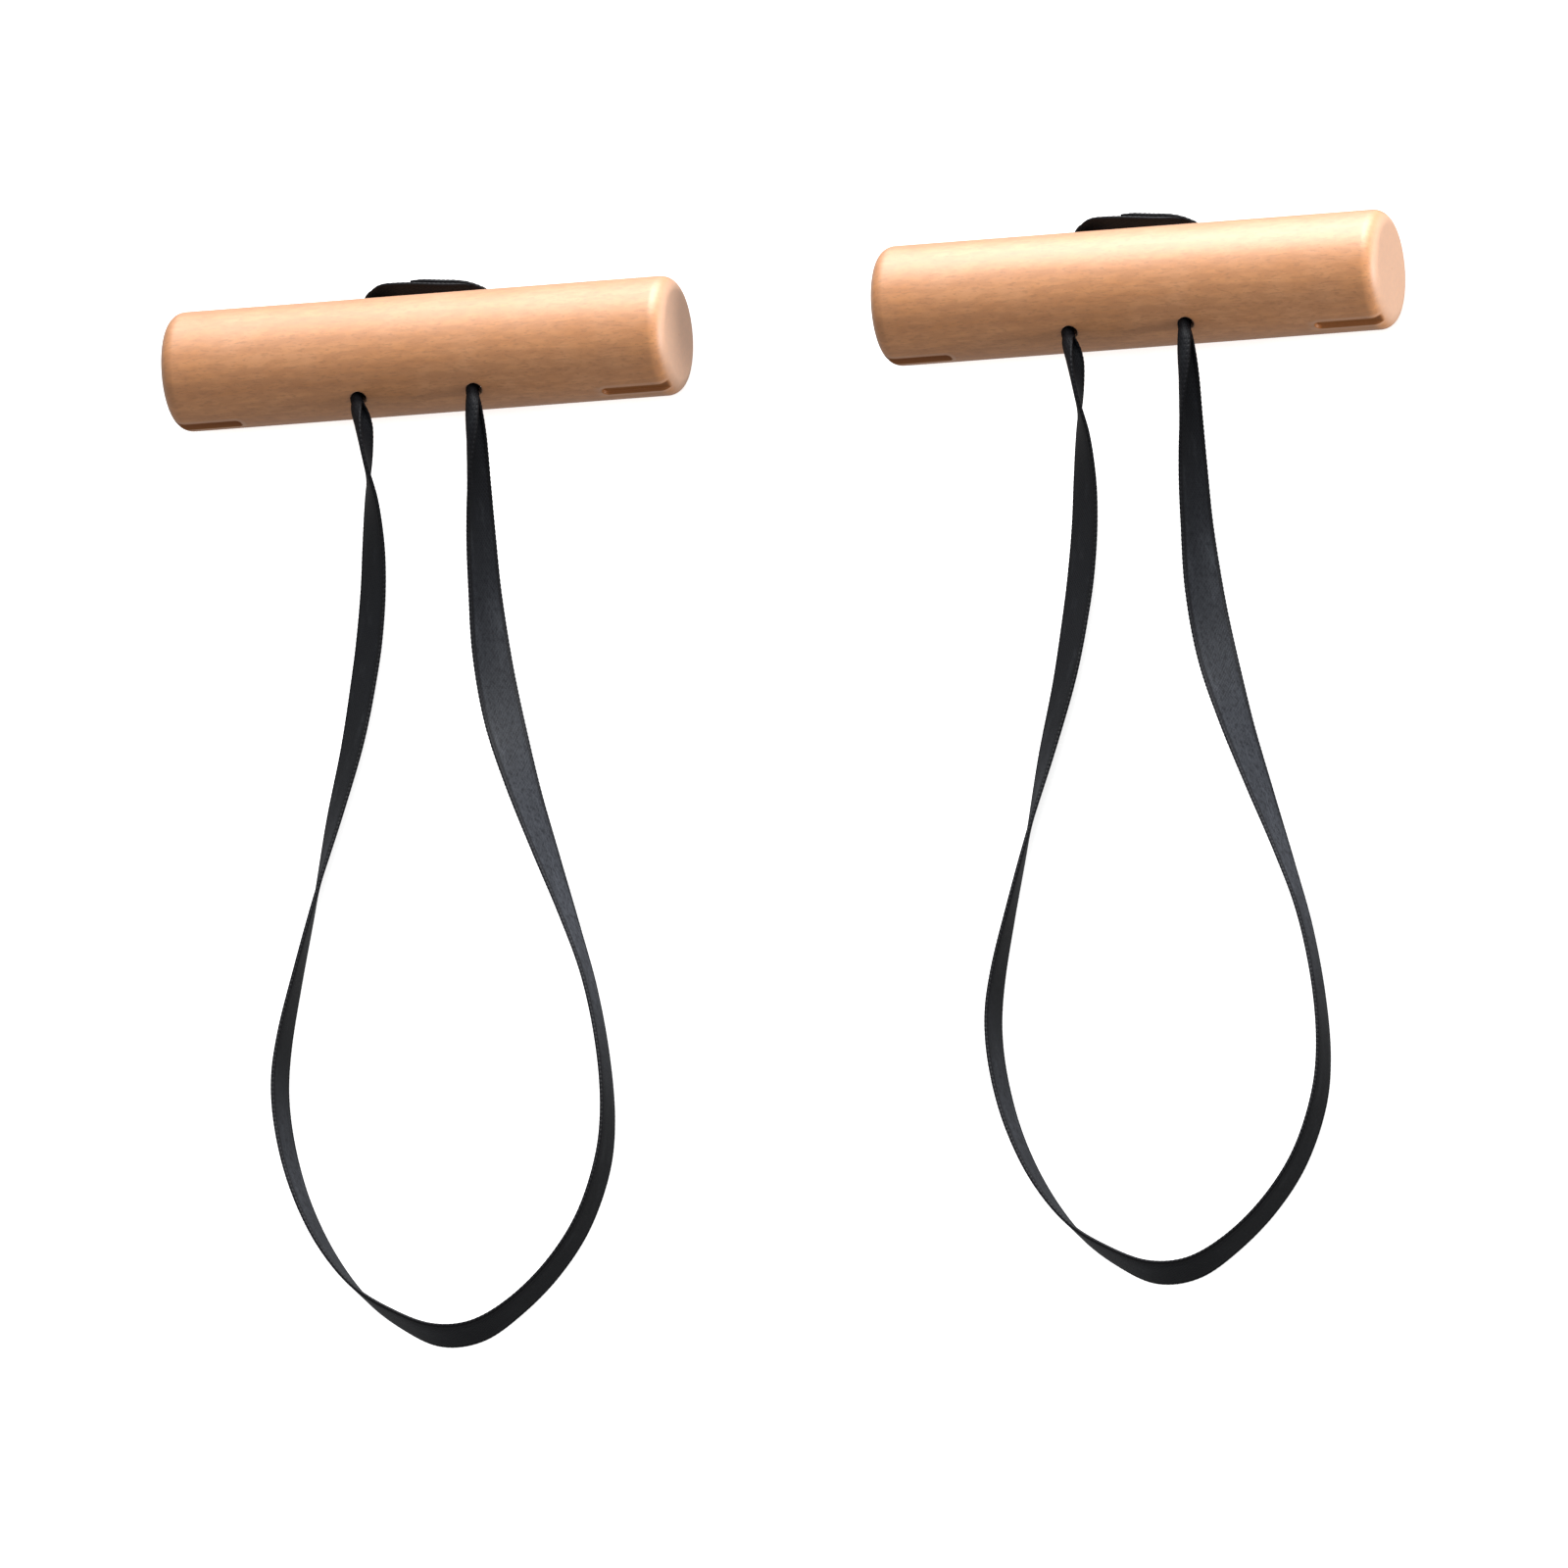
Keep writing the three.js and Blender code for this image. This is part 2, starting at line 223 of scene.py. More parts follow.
def smoothstep(x):
    """0 below 0, 1 above 1, and 3x² - 2x³ between."""
    x = np.clip(x, 0, 1)
    return x * x * (3 - 2 * x)


def unit(vectors):
    return vectors / np.linalg.norm(vectors, axis=-1, keepdims=True)


def smooth_line(rows, step):
    """The Catmull-Rom curve through the rows, cut into equal steps of about the given length. Each
    span is the cubic that passes its two rows with half the way between their neighbours as slope.
    """
    rows = np.asarray(rows, float)
    rows = np.vstack([2 * rows[0] - rows[1], rows, 2 * rows[-1] - rows[-2]])
    a, b, c, d = (rows[i : len(rows) - 3 + i, None] for i in range(4))
    t = (np.arange(SPAN_CUTS) / SPAN_CUTS)[None, :, None]
    spans = b + (c - a) * t / 2 + (2 * a - 5 * b + 4 * c - d) * t**2 / 2
    spans = spans + (3 * b - a - 3 * c + d) * t**3 / 2
    fine = np.vstack([spans.reshape(-1, rows.shape[1]), rows[-2]])
    strides = np.linalg.norm(np.diff(fine[:, :3], axis=0), axis=1)
    reached = np.concatenate([[0], np.cumsum(strides)])
    even = np.linspace(0, reached[-1], round(reached[-1] / step) + 1)
    return even, np.stack([np.interp(even, reached, column) for column in fine.T], axis=1)


def add_mesh(name, vertices, faces, material, uv=None, **shares):
    """A mesh with smooth faces. uv gives each vertex its place on the cloth, and each of shares is a
    named number from 0 to 1 at each vertex, which its material reads."""
    mesh = bpy.data.meshes.new(name)
    mesh.from_pydata(vertices.tolist(), [], faces)
    mesh.polygons.foreach_set("use_smooth", np.ones(len(mesh.polygons), bool))
    if uv is not None:
        corner_vertex = np.empty(len(mesh.loops), np.int32)
        mesh.loops.foreach_get("vertex_index", corner_vertex)
        layer = mesh.uv_layers.new(name="cloth").data
        layer.foreach_set("uv", uv[corner_vertex].astype(np.float32).ravel())
    for key, values in shares.items():
        share = mesh.attributes.new(key, "FLOAT", "POINT").data
        share.foreach_set("value", values.astype(np.float32).ravel())
    mesh.materials.append(material)
    mesh.update()
    piece = bpy.data.objects.new(name, mesh)
    bpy.context.scene.collection.objects.link(piece)
    return piece


def tube_faces(rows, columns):
    """Faces of a grid of rows that each close into a ring, with a fan over each end. The fans' middles
    are the two vertices after the grid: the first row's, then the last one's."""
    row, column = np.meshgrid(np.arange(rows - 1), np.arange(columns), indexing="ij")
    here, beside = row * columns + column, row * columns + (column + 1) % columns
    sides = np.stack([here, beside, beside + columns, here + columns], axis=-1).reshape(-1, 4)
    ring = np.arange(columns)
    after = (ring + 1) % columns
    first = np.stack([after, ring, np.full(columns, rows * columns)], axis=1)
    last_row = (rows - 1) * columns
    last = np.stack([last_row + ring, last_row + after, np.full(columns, rows * columns + 1)], axis=1)
    return sides.tolist() + first.tolist() + last.tolist()


# ---------------------------------------------------------------- webbing


def webbing_section():
    """The closed outline of flat webbing as (across, out), for a unit thickness of 1: two faces
    joined by half circles, with a shallow groove inside each selvedge."""
    flat = (WIDTH - THICKNESS) / 2
    face = flat * np.sin(np.linspace(-1, 1, FACE_POINTS) * math.pi / 2)
    turn = np.linspace(math.pi / 2, -math.pi / 2, TURN_POINTS)[1:-1]
    reach, level = flat + THICKNESS / 2 * np.cos(turn), np.full(FACE_POINTS, 0.5)
    across = np.concatenate([face, reach, face[::-1], -reach])
    out = np.concatenate([level, np.sin(turn) / 2, -level, -np.sin(turn) / 2])
    groove = np.exp(-(((np.abs(across) - WIDTH / 2 + GROOVE_IN) / GROOVE_WIDTH) ** 2))
    return across, out * (1 - GROOVE_DEPTH * groove)


def webbing_band(name, travelled, centre, wide, curl, thickness, rolled, faded, material):
    """A band of webbing along a line. Each section is bent to an arc that turns by its curl from one
    selvedge to the other, about the band's own length: with k = curl / width, the point s across
    lies at sin(ks)/k sideways and (cos(ks) - 1)/k outwards, less the mean, and the band's two faces
    stand off that arc along its normal. The selvedges swell at every turn of the weft."""
    along = unit(np.gradient(centre, axis=0))
    face_out = np.cross(wide, along)
    across, out = webbing_section()
    swell = SWELL * np.abs(across / (WIDTH / 2)) ** SELVEDGE_POWER
    across = across * (1 + swell * np.cos(2 * math.pi * travelled / PICK)[:, None])
    across = across * (1 - (1 - GATHERED) * rolled)[:, None]
    bend = curl[:, None] / (2 * across.max(axis=1, keepdims=True))
    angle = bend * across
    sideways = across * np.sinc(angle / math.pi)
    outwards = -bend * across**2 / 2 * np.sinc(angle / 2 / math.pi) ** 2
    outwards = outwards - outwards.mean(axis=1, keepdims=True)
    stand_off = out * thickness[:, None]
    sideways = sideways + stand_off * np.sin(angle)
    outwards = outwards + stand_off * np.cos(angle)
    points = centre[:, None] + sideways[..., None] * wide[:, None]
    points = points + outwards[..., None] * face_out[:, None]
    rows, columns = across.shape
    along_cloth = np.broadcast_to(travelled[:, None], across.shape)
    uv = np.stack([across, along_cloth], axis=-1).reshape(-1, 2)
    ends = [points[0].mean(axis=0), points[-1].mean(axis=0)]
    vertices = np.vstack([points.reshape(-1, 3), ends])
    uv = np.vstack([uv, [[0, travelled[0]], [0, travelled[-1]]]])
    rolled, faded = (
        np.append(np.repeat(share, columns), [share[0], share[-1]]) for share in (rolled, faded)
    )
    faces = tube_faces(rows, columns)
    return add_mesh(name, vertices, faces, material, uv=uv, rolled=rolled, faded=faded)


def opened(distance, length):
    """How much of the curl is left at a distance from a hole: e^(-distance / length)."""
    return np.exp(-np.maximum(distance, 0) / length)


def hole_point(foot, x, back, up=0.0):
    """A point given along and across the holes, from the dowel's middle."""
    return foot + [0, 0, grip_r] + x * ALONG_DOWEL + back * REARWARD + up * ACROSS


def loop_line(foot):
    """The loop's route with the stretch inside each hole: length travelled, centres and leans."""
    inside = [
        [*(hole_point(np.zeros(3), x, -back, 0) / MM), lean]
        for x, lean, backs in (
            (-HOLE_X, LOOP_ROUTE[0][3], IN_HOLE),
            (HOLE_X, LOOP_ROUTE[-1][3], IN_HOLE[::-1]),
        )
        for back in backs
    ]
    count = len(IN_HOLE)
    rows = np.array([*inside[:count], *LOOP_ROUTE, *inside[count:]], float)
    rows[:, :3] *= MM
    travelled, line = smooth_line(rows, STEP)
    return travelled, line[:, :3] + foot, np.radians(line[:, 3])


def make_loop(side, foot, material):
    """The open loop in front of the dowel."""
    travelled, centre, lean = loop_line(foot)
    along = unit(np.gradient(centre, axis=0))
    inward = unit(np.stack([-along[:, 1], along[:, 0], np.zeros(len(along))], axis=1))
    upright = np.cross(along, inward)
    wide = upright * np.cos(lean)[:, None] + inward * np.sin(lean)[:, None]
    in_hole = IN_HOLE[-1] + SWING_PIVOT - IN_HOLE[0]  # from the band's end to the swing line
    from_left, from_right = travelled - in_hole, travelled[-1] - travelled - in_hole
    left, right = opened(from_left, LEFT_OPENING), opened(from_right, RIGHT_OPENING)
    fold = np.maximum(left, right)
    curl = CURL * (right - left)
    thickness = THICKNESS + (SQUEEZED - THICKNESS) * fold
    # How much the band is gathered by each hole, which its finish also paints darker as shade.
    rolled = opened(np.minimum(from_left, from_right), GATHER_LENGTH)
    # Painted sheen: how much greyer each section is painted where its face catches the light.
    faded = np.interp(travelled, *zip(*PAINTED_SHEEN_AT))
    band = (travelled, centre, wide, curl, thickness, rolled, faded)
    piece = webbing_band(f"{side}_open_loop", *band, material)
    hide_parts(f"{side}_webbing_loop")
    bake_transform(piece)
    return piece


def rear_line(foot):
    """The webbing's route round the back: length travelled, centres, and the two directions across
    the band and out of it."""
    line = np.array([hole_point(foot, *row) for row in np.array(REAR_ROUTE) * MM])
    travelled, centre = smooth_line(line, STEP)
    along = unit(np.gradient(centre, axis=0))
    wide = unit(ACROSS - (along @ ACROSS)[:, None] * along)
    return travelled, centre, wide, np.cross(along, wide)


def make_lap(side, foot, layer, material):
    """One end of the webbing: through its hole and along the back of the dowel, on the lap's outer
    side (layer 1, by the right hole) or its inner one (layer -1, by the left hole)."""
    travelled, centre, wide, out = rear_line(foot)
    x, back = centre[:, 0] - foot[0], (centre - foot - [0, 0, grip_r]) @ REARWARD
    end = LAP_OUTER_END if layer > 0 else LAP_INNER_END
    kept = np.where(back > grip_r, layer * (x - end) > 0, layer * x > 0)
    out_of_hole = np.maximum(back - grip_r - RIM, 0) + HOLE_X - np.minimum(HOLE_X, np.abs(x))
    fold = opened(out_of_hole, REAR_OPENING)
    lapped = 1 - smoothstep((np.abs(x) - LAP_LEVEL) / (LAP_PARTED - LAP_LEVEL))
    pressed = smoothstep(layer * (x - end) / LAP_END_TAPER)
    thickness = THICKNESS + (SQUEEZED - THICKNESS) * fold
    thickness = thickness * (LAP_END_THINNED + (1 - LAP_END_THINNED) * pressed)
    lift = layer * lapped * ((thickness + GAP) / 2)
    centre = centre + out * lift[:, None]
    curl = CURL * fold * np.sign(x)
    word = "outer" if layer > 0 else "inner"
    # How much the band is gathered by its hole, which its finish also paints darker as shade.
    rolled = opened(out_of_hole, GATHER_LENGTH)
    parts = (travelled, centre, wide, curl, thickness, rolled, np.zeros(len(x)))
    band = (part[kept] for part in parts)
    piece = webbing_band(f"{side}_{word}_lap", *band, material)
    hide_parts(f"{side}_lap_{word}")
    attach(piece, f"{side}_handle")


def make_tack(side, foot, number, material):
    """One bar tack: a thread that zigzags along the dowel while it works its way across the lap, and
    dives into the webbing at every turn. Its height over the webbing is the root of a half sine."""
    _, centre, wide, out = rear_line(foot)
    at = int(np.argmin(np.abs(centre[:, 0] - foot[0] - TACK_PLACES[number - 1])))
    t = np.linspace(0, TACK_STITCHES, TACK_STITCHES * STITCH_STEPS + 1)
    across = TACK_WIDTH * (t / TACK_STITCHES - 0.5)
    zigzag = np.arcsin(np.cos(math.pi * t) * STITCH_SHARPNESS)
    lengthwise = TACK_LENGTH / 2 * (2 / math.pi) * zigzag
    surface = THICKNESS + GAP / 2
    arch = STITCH_RISE * np.sqrt(np.abs(np.sin(math.pi * t))) - STITCH_DIVE
    height = surface + THREAD_R * arch
    along = unit(np.cross(wide[at], out[at]))
    thread = centre[at] + across[:, None] * wide[at] + lengthwise[:, None] * along
    thread = thread + height[:, None] * out[at]
    tangent = unit(np.gradient(thread, axis=0))
    sideways = unit(np.cross(tangent, out[at]))
    upwards = np.cross(sideways, tangent)
    turn = np.linspace(0, 2 * math.pi, THREAD_SIDES, endpoint=False)[None, :, None]
    spoke = np.cos(turn) * sideways[:, None] + np.sin(turn) * upwards[:, None]
    ring = thread[:, None] + THREAD_R * spoke
    vertices = np.vstack([ring.reshape(-1, 3), thread[:1], thread[-1:]])
    faces = tube_faces(len(thread), THREAD_SIDES)
    piece = add_mesh(f"{side}_tack_thread_{number}", vertices, faces, material)
    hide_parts(f"{side}_bar_tack_{number}")
    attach(piece, f"{side}_handle")


# ---------------------------------------------------------------- dowel

# How far apart the points of the dowel's surface are: wide where it is plain, close at each cut
PLAIN_STEP = 3 * MM
END_STEP = 1.5 * MM
SLOT_STEP = 0.2 * MM
HOLE_STEP = 0.3 * MM
FACE_STEP, FACE_EDGE = 2.5 * MM, 0.5 * MM
FACE_CENTRE_R = 0.6 * MM
HOLE_REACH = 4.8 * MM  # what is close round a hole's middle
SLOT_REACH = 2.5 * MM  # and either way from a slot's inner end
SLOT_RIGHT_REACH = 0.5 * MM
EDGE_POINTS = 15
RIM_POINTS = 6
HOLE_FLOOR_R = 0.5 * MM  # the surface within this becomes the hole's bottom
RIM_HIGHLIGHT_TO, RIM_HIGHLIGHT_FADE = 1.3, 0.4  # in rim widths: how far the highlight painted round each mouth reaches, and its fade
ROUND_STEPS = (  # in degrees about the dowel: where each run ends, and its step
    (-167, 4), (-145, 0.8), (-18, 4.5), (16, 0.45), (35, 0.8), (180, 4.5),
)


def places(start, *runs):
    """Places from start on to each run's end in turn, no further apart than the run's step."""
    found = [start]
    for end, step in runs:
        found.extend(np.linspace(found[-1], end, math.ceil(abs(end - found[-1]) / step) + 1)[1:])
    return np.array(found)


def dowel_profile(length):
    """The dowel's outline from the middle of one end face to the middle of the other, as (x, radius):
    flat, a quarter circle, straight, a quarter circle, flat. It is closest where something is cut."""
    half = length / 2
    flat = grip_r - EDGE_R
    radius = places(FACE_CENTRE_R, (flat - FACE_EDGE, FACE_STEP), (flat, FACE_EDGE))
    turn = np.linspace(0, math.pi / 2, EDGE_POINTS)[1:-1]
    left, right = SLOTS
    slot_left, slot_right = left.length - half, half - right.length
    straight = places(
        EDGE_R - half,
        (slot_left - SLOT_REACH, END_STEP),
        (slot_left + SLOT_REACH, SLOT_STEP),
        (-HOLE_X - HOLE_REACH, PLAIN_STEP),
        (-HOLE_X + HOLE_REACH, HOLE_STEP),
        (HOLE_X - HOLE_REACH, PLAIN_STEP),
        (HOLE_X + HOLE_REACH, HOLE_STEP),
        (slot_right - SLOT_RIGHT_REACH, PLAIN_STEP),
        (slot_right + SLOT_REACH, SLOT_STEP),
        (half - EDGE_R, END_STEP),
    )
    end_x, end_r = EDGE_R * (1 - np.cos(turn)), flat + EDGE_R * np.sin(turn)
    face_x, full_r = np.full(len(radius), half), np.full(len(straight), grip_r)
    x = np.concatenate([-face_x, end_x - half, straight, half - end_x[::-1], face_x])
    r = np.concatenate([radius, end_r, full_r, end_r[::-1], radius[::-1]])
    return x, r


def sink_slot(x, r, height, half_length, slot):
    """The radius with a flat-bottomed slot sunk into it, and how far each point is inside the slot and
    on the lip round it, where a highlight is painted. The slot's outline is a rectangle with rounded
    inner corners, open at the end of the dowel: its signed distance is that of the rectangle less its
    corners, minus the corner radius."""
    angle = (height - slot.lift + math.pi) % (2 * math.pi) - math.pi
    past_end = (half_length - slot.length + slot.corner) - slot.end * x
    past_side = np.abs(r * np.sin(angle)) - (slot.half_width - slot.corner)
    outside = np.hypot(np.maximum(past_end, 0), np.maximum(past_side, 0))
    distance = outside + np.minimum(np.maximum(past_end, past_side), 0) - slot.corner
    distance = np.where(np.cos(angle) > 0, distance, 1)
    inside = smoothstep((SLOT_EDGE - distance) / (2 * SLOT_EDGE))
    floor = (grip_r - slot.depth) / np.maximum(np.cos(angle), 0.5)
    scorched = smoothstep(1 - (distance - SLOT_EDGE) / SCORCH_FADE)
    scorched = scorched * smoothstep((r - floor + SCORCH_CLIMB) / SCORCH_FADE)
    lip = smoothstep(1 - (distance - LIP_WIDTH) / LIP_FADE) * (1 - scorched)
    return r + (np.minimum(r, floor) - r) * inside, scorched, lip


def sink_hole(points, x, side):
    """Points near a hole's axis drawn into it: by their distance from the axis they stay, pass over the
    rounded rim, run down the wall or close its bottom. Returns how far each is on the rim, where a
    highlight is painted."""
    axis = -REARWARD * side
    from_axis = points - x * ALONG_DOWEL
    height = from_axis @ axis
    lateral = from_axis - height[..., None] * axis
    distance = np.linalg.norm(lateral, axis=-1)
    turn = np.linspace(0, math.pi / 2, RIM_POINTS)
    at = np.concatenate([[0, HOLE_FLOOR_R], HOLE_R + RIM * turn / (math.pi / 2)])
    width = np.concatenate([[0, HOLE_R], HOLE_R + RIM * (1 - np.cos(turn))])
    depth = np.concatenate([[HOLE_DEPTH, HOLE_DEPTH], RIM * (1 - np.sin(turn))])
    near = (height > 0) & (distance < HOLE_R + RIM)
    new_distance = np.where(near, np.interp(distance, at, width), distance)
    new_height = np.where(near, height - np.interp(distance, at, depth), height)
    scale = new_distance / np.maximum(distance, 1e-9)
    rim = smoothstep((HOLE_R + RIM_HIGHLIGHT_TO * RIM - distance) / (RIM_HIGHLIGHT_FADE * RIM))
    drawn_in = x * ALONG_DOWEL + lateral * scale[..., None] + new_height[..., None] * axis
    return drawn_in, np.where(height > 0, rim, 0)


def make_grip(side, foot, length, material):
    """The turned dowel, as rings of points about its length: a profile turned round, with its slots
    and hole mouths sunk into the rings. height is each point's angle up from straight ahead."""
    x, r = dowel_profile(length)
    height = np.radians(places(-180, *ROUND_STEPS)[:-1])[None, :]
    x, r = x[:, None] + 0 * height, r[:, None] + 0 * height
    # eased: a paler colour painted as a highlight on the slot lips, hole rims and rounded ends
    burnt, eased = np.zeros_like(x), np.zeros_like(x)
    for slot in SLOTS:
        r, scorched, lip = sink_slot(x, r, height, length / 2, slot)
        burnt = np.maximum(burnt, scorched)
        eased = np.maximum(eased, LIP_HIGHLIGHT * lip)
    points = np.stack([x, -r * np.cos(height), r * np.sin(height)], axis=-1)
    for hole_x in (-HOLE_X, HOLE_X):
        for facing in (1, -1):
            points, rim = sink_hole(points, hole_x, facing)
            eased = np.maximum(eased, rim)
    near_end = (np.abs(x) - length / 2 + EDGE_R / 2) / (EDGE_R / 2)
    eased = np.maximum(eased, END_HIGHLIGHT * smoothstep(near_end))
    rows, columns = x.shape
    middle = np.array(foot) + [0, 0, grip_r]
    ends = [[-length / 2, 0, 0], [length / 2, 0, 0]]
    vertices = np.vstack([points.reshape(-1, 3), ends]) + middle
    faces = [face[::-1] for face in tube_faces(rows, columns)]
    piece = add_mesh(
        f"{side}_turned_dowel", vertices, faces, material,
        burnt=np.append(burnt.ravel(), [0, 0]), eased=np.append(eased.ravel(), [0, 0]),
    )
    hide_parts(f"{side}_grip")
    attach(piece, f"{side}_handle")


# ---------------------------------------------------------------- materials

BEECH_LIGHT, BEECH_DARK = (0.83, 0.358, 0.120, 1), (0.73, 0.292, 0.086, 1)
BEECH_RING = (0.60, 0.245, 0.10, 1)
BEECH_MOTTLE = (0.87, 0.45, 0.235, 1)
BEECH_RIPPLE = (0.60, 0.24, 0.08, 1)
BEECH_RAY = (0.50, 0.20, 0.068, 1)
# the paler colour painted as a highlight on rims, lips and ends
BEECH_HIGHLIGHT = (0.86, 0.56, 0.40, 1)
CHAR_DARK, CHAR_LIGHT = (0.26, 0.080, 0.016, 1), (0.46, 0.165, 0.038, 1)

# the darker colour painted as shade in the gaps between the yarn floats
WEB_YARN_GAP_SHADE, WEB_YARN = (0.005, 0.0055, 0.0065, 1), (0.019, 0.021, 0.025, 1)
WEB_PATCH = (0.055, 0.060, 0.068, 1)
# the grey painted as sheen along stretches of the loop
WEB_PAINTED_SHEEN = (0.125, 0.136, 0.162, 1)
WEB_GRAIN = (0.012, 0.013, 0.017, 1)
# the darker colour painted as shade along each selvedge
WEB_SELVEDGE_SHADE = (0.009, 0.009, 0.011, 1)
# the near black painted as shade where the webbing is curled up in and by the holes
WEB_HOLE_SHADE = (0.003, 0.003, 0.004, 1)
YARN_WIDTH = 0.62 * MM
YARN_OFFSET = 40  # rows, which keeps their count positive across the band
SELVEDGE_FROM, SELVEDGE_TO = 1.9 * MM, 1.3 * MM  # where the shade painted along each selvedge starts and is full, from the band's edge
THREAD_BLACK = (0.012, 0.012, 0.014, 1)


def add_node(tree, kind, inputs=None, output=0, **settings):
    """Adds a node with its settings, and gives each named input a value or another node's output."""
    made = tree.nodes.new("ShaderNode" + kind)
    for key, value in settings.items():
        setattr(made, key, value)
    for key, value in (inputs or {}).items():
        if isinstance(value, bpy.types.NodeSocket):
            tree.links.new(value, made.inputs[key])
        else:
            made.inputs[key].default_value = value
    return made.outputs[output]


def new_finish(name, **constants):
    """A material with its shader's constant values set. Returns it, its tree and its shader."""
    material = bpy.data.materials.new(name)
    material.use_nodes = True
    shader = material.node_tree.nodes["Principled BSDF"]
    for key, value in constants.items():
        shader.inputs[key.replace("_", " ")].default_value = value
    return material, material.node_tree, shader


def mix_rgb(tree, share, first, second):
    """first where share is 0, second where it is 1."""
    made = tree.nodes.new("ShaderNodeMix")
    made.data_type = "RGBA"
    for socket, value in zip((made.inputs[0], made.inputs[6], made.inputs[7]), (share, first, second)):
        if isinstance(value, bpy.types.NodeSocket):
            tree.links.new(value, socket)
        else:
            socket.default_value = value
    return made.outputs[2]


def remap(tree, value, low, high, to_low=0.0, to_high=1.0):
    return add_node(
        tree, "MapRange",
        {"Value": value, "From Min": low, "From Max": high, "To Min": to_low, "To Max": to_high},
        interpolation_type="SMOOTHSTEP",
    )


def calc(tree, operation, *values):
    return add_node(tree, "Math", dict(enumerate(values)), operation=operation)


def beech_finish(side, foot):
    """Steamed beech with a satin finish: growth streaks round a far-off heart, soft mottling, the
    short dark rays of beech and scorched slots, with a highlight painted paler on the rounded ends,
    the lips of the slots and the rims of the holes."""
    material, tree, shader = new_finish(f"{side}_beech", Coat_Roughness=0.65, Coat_IOR=1.75)
    place = add_node(tree, "TexCoord", output="Object")
    centred = add_node(tree, "Mapping", {"Vector": place, "Location": (-foot[0], -foot[1], -grip_r)})
    heart = add_node(
        tree, "Mapping", {"Vector": centred, "Location": (0, 0.045, 0.06), "Scale": (0.05, 1, 1)}
    )
    warp = add_node(tree, "TexNoise", {"Vector": centred, "Scale": 14, "Detail": 2}, output="Color")
    heart = add_node(
        tree, "VectorMath", {0: warp, 1: (0.012, 0.012, 0.012), 2: heart}, operation="MULTIPLY_ADD"
    )
    ring = add_node(
        tree, "TexWave",
        {"Vector": heart, "Scale": 95, "Distortion": 1.5, "Detail": 2, "Detail Scale": 2},
        wave_type="RINGS", rings_direction="X", wave_profile="SAW", output="Fac",
    )
    streak_place = add_node(tree, "Mapping", {"Vector": centred, "Scale": (9, 260, 260)})
    streak = add_node(tree, "TexNoise", {"Vector": streak_place, "Scale": 1, "Detail": 3})
    mottle = add_node(
        tree, "TexNoise", {"Vector": centred, "Scale": 42, "Detail": 4, "Roughness": 0.6}
    )
    ray_place = add_node(tree, "Mapping", {"Vector": centred, "Scale": (420, 1500, 1500)})
    rays = add_node(
        tree, "TexNoise", {"Vector": ray_place, "Scale": 1, "Detail": 1.5, "Roughness": 0.5}
    )
    ray = remap(tree, rays, 0.52, 0.72)
    colour = mix_rgb(tree, remap(tree, streak, 0.25, 0.75), BEECH_LIGHT, BEECH_DARK)
    colour = mix_rgb(tree, calc(tree, "MULTIPLY", ring, 0.28), colour, BEECH_RING)
    colour = mix_rgb(tree, remap(tree, mottle, 0.35, 0.75, 0, 0.3), colour, BEECH_MOTTLE)
    ripple_place = add_node(tree, "Mapping", {"Vector": centred, "Scale": (150, 480, 480)})
    ripple = add_node(tree, "TexNoise", {"Vector": ripple_place, "Scale": 1, "Detail": 2})
    colour = mix_rgb(tree, remap(tree, ripple, 0.38, 0.62, 0, 0.5), colour, BEECH_RIPPLE)
    colour = mix_rgb(tree, calc(tree, "MULTIPLY", ray, 0.5), colour, BEECH_RAY)
    # Painted highlight: the rims, slot lips and ends are painted paler.
    eased = add_node(tree, "Attribute", attribute_name="eased", output="Fac")
    colour = mix_rgb(tree, calc(tree, "MULTIPLY", eased, 0.7), colour, BEECH_HIGHLIGHT)
    burnt = add_node(tree, "Attribute", attribute_name="burnt", output="Fac")
    char = mix_rgb(tree, mottle, CHAR_DARK, CHAR_LIGHT)
    colour = mix_rgb(tree, calc(tree, "MULTIPLY", burnt, 0.9), colour, char)
    tree.links.new(calc(tree, "SUBTRACT", 1, burnt), shader.inputs["Coat Weight"])
    tree.links.new(colour, shader.inputs["Base Color"])
    tree.links.new(remap(tree, mottle, 0.3, 0.7, 0.44, 0.54), shader.inputs["Roughness"])
    relief = calc(tree, "MULTIPLY_ADD", ray, -0.4, calc(tree, "MULTIPLY", ripple, -0.8))
    bump = add_node(tree, "Bump", {"Height": relief, "Strength": 0.3, "Distance": 0.1 * MM})
    tree.links.new(bump, shader.inputs["Normal"])
    return material


